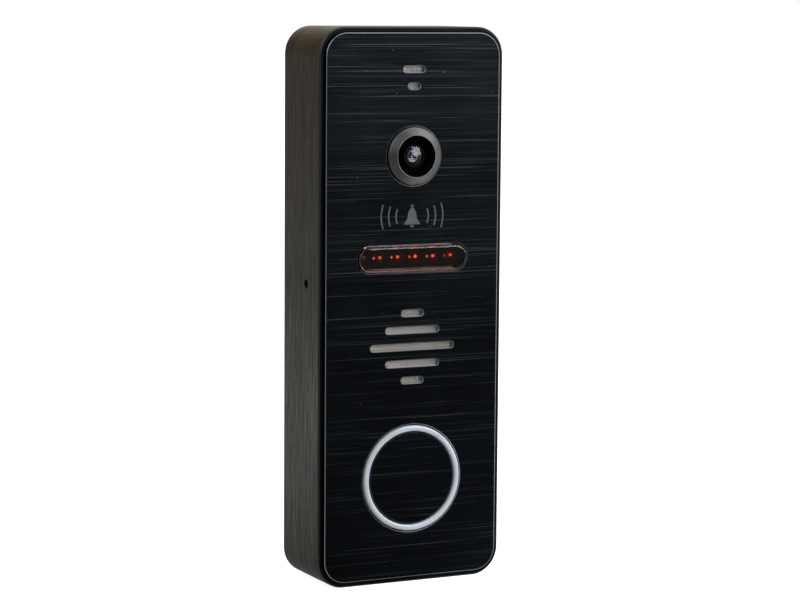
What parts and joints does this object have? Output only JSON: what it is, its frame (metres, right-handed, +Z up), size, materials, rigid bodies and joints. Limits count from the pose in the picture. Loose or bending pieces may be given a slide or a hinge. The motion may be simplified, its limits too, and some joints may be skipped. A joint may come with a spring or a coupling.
{
  "type": "video door station",
  "caption": "Slim wall-mounted video call panel: brushed plate, camera, night-lamp window, speaker slots and a light-ringed call button on a clip-in wall bracket.",
  "frame": {"origin": "middle of the wall face, where the bracket and the housing's rear rim meet the wall", "axes": "+Z up along the unit's height, -Y out of the wall through the front plate, +X to the right as a visitor sees it"},
  "size_m": [0.0472, 0.022, 0.13],
  "materials": {
    "housing_alloy": "anodised, brushed along its height",
    "front_plate": "black anodised, brushed across, bright cut edges",
    "button_cap": "black anodised, brushed across",
    "camera_bezel": "dark grey, satin turned",
    "zinc_steel": "zinc plated",
    "black_plastic": "fine matte",
    "lens_glass": "coated optical glass",
    "filter_glass": "thin filter glass",
    "chip_black": "moulded package",
    "seal_rubber": "soft black rubber",
    "adhesive": "thin foam tape",
    "steel_mesh": "fine woven wire",
    "green_board": "solder mask",
    "window_acrylic": "smoky clear acrylic, polished",
    "clear_lamp": "clear epoxy",
    "tinned_pins": "tinned",
    "speaker_film": "moulded film",
    "copper_wire": "enamelled copper wire",
    "gold_contacts": "gold flashed",
    "ring_acrylic": "milky clear acrylic",
    "spring_steel": "drawn wire",
    "led_package": "white package, clear lens",
    "header_plastic": "natural nylon",
    "cover_plastic": "moulded, light texture",
    "bracket_steel": "zinc plated sheet",
    "screw_black": "black oxide",
    "screw_zinc": "zinc plated",
    "red_lamp": "red tinted epoxy"
  },
  "bodies": {
    "bracket": {"wall_bracket": "bracket_steel"},
    "panel": {"back_cover": "cover_plastic", "back_seal": "seal_rubber", "bezel_nut": "zinc_steel", "board_chips": "chip_black", "board_links": "black_plastic", "board_screws": "screw_zinc", "button_holder": "black_plastic", "button_seal": "seal_rubber", "button_spring": "spring_steel", "camera_bezel": "camera_bezel", "camera_board": "green_board", "camera_hood": "black_plastic", "cover_screws": "screw_zinc", "filter_glass": "filter_glass", "front_plate": "front_plate", "header_pins": "tinned_pins", "header_seal": "seal_rubber", "housing": "housing_alloy", "image_sensor": "chip_black", "ir_lamp_1": "red_lamp", "ir_lamp_2": "red_lamp", "ir_lamp_3": "red_lamp", "ir_lamp_4": "red_lamp", "ir_lamp_5": "red_lamp", "lamp_board": "green_board", "lamp_leads": "tinned_pins", "lamp_spacer": "black_plastic", "lamp_window": "window_acrylic", "lens_barrel": "black_plastic", "lens_front_glass": "lens_glass", "lens_holder": "black_plastic", "lens_inner_glass": "lens_glass", "lens_seal": "seal_rubber", "light_ring": "ring_acrylic", "light_sensor": "clear_lamp", "main_board": "green_board", "mic_boot": "seal_rubber", "mic_mesh": "steel_mesh", "microphone": "zinc_steel", "plate_adhesive": "adhesive", "retainer_screws": "screw_zinc", "ring_leds": "led_package", "set_screws": "screw_black", "speaker_cone": "speaker_film", "speaker_contacts": "gold_contacts", "speaker_frame": "zinc_steel", "speaker_gasket": "seal_rubber", "speaker_magnet": "zinc_steel", "speaker_mesh": "steel_mesh", "speaker_pole": "zinc_steel", "speaker_retainer": "zinc_steel", "speaker_yoke": "zinc_steel", "tact_switch_body": "black_plastic", "voice_coil": "copper_wire", "window_gasket": "seal_rubber", "wire_header": "header_plastic"},
    "call_button": {"button_cap": "button_cap", "button_plunger": "black_plastic"},
    "switch_plunger": {"tact_switch_plunger": "black_plastic"}
  },
  "joints": [
    {"name": "wall_mount", "type": "slide", "parent": "bracket", "child": "panel", "axis": [0, -1, 0], "range_m": [0, 0.02]},
    {"name": "call_press", "type": "slide", "parent": "panel", "child": "call_button", "axis": [0, 1, 0], "range_m": [0, 0.0005], "stiffness_N_per_m": 2500, "springref_m": -0.00044, "deforming": ["button_spring"]},
    {"name": "switch_press", "type": "slide", "parent": "panel", "child": "switch_plunger", "axis": [0, 1, 0], "range_m": [0, 0.0005]}
  ],
  "couplings": [
    {"joint": "switch_press", "follows": "call_press", "ratio": 1}
  ]
}
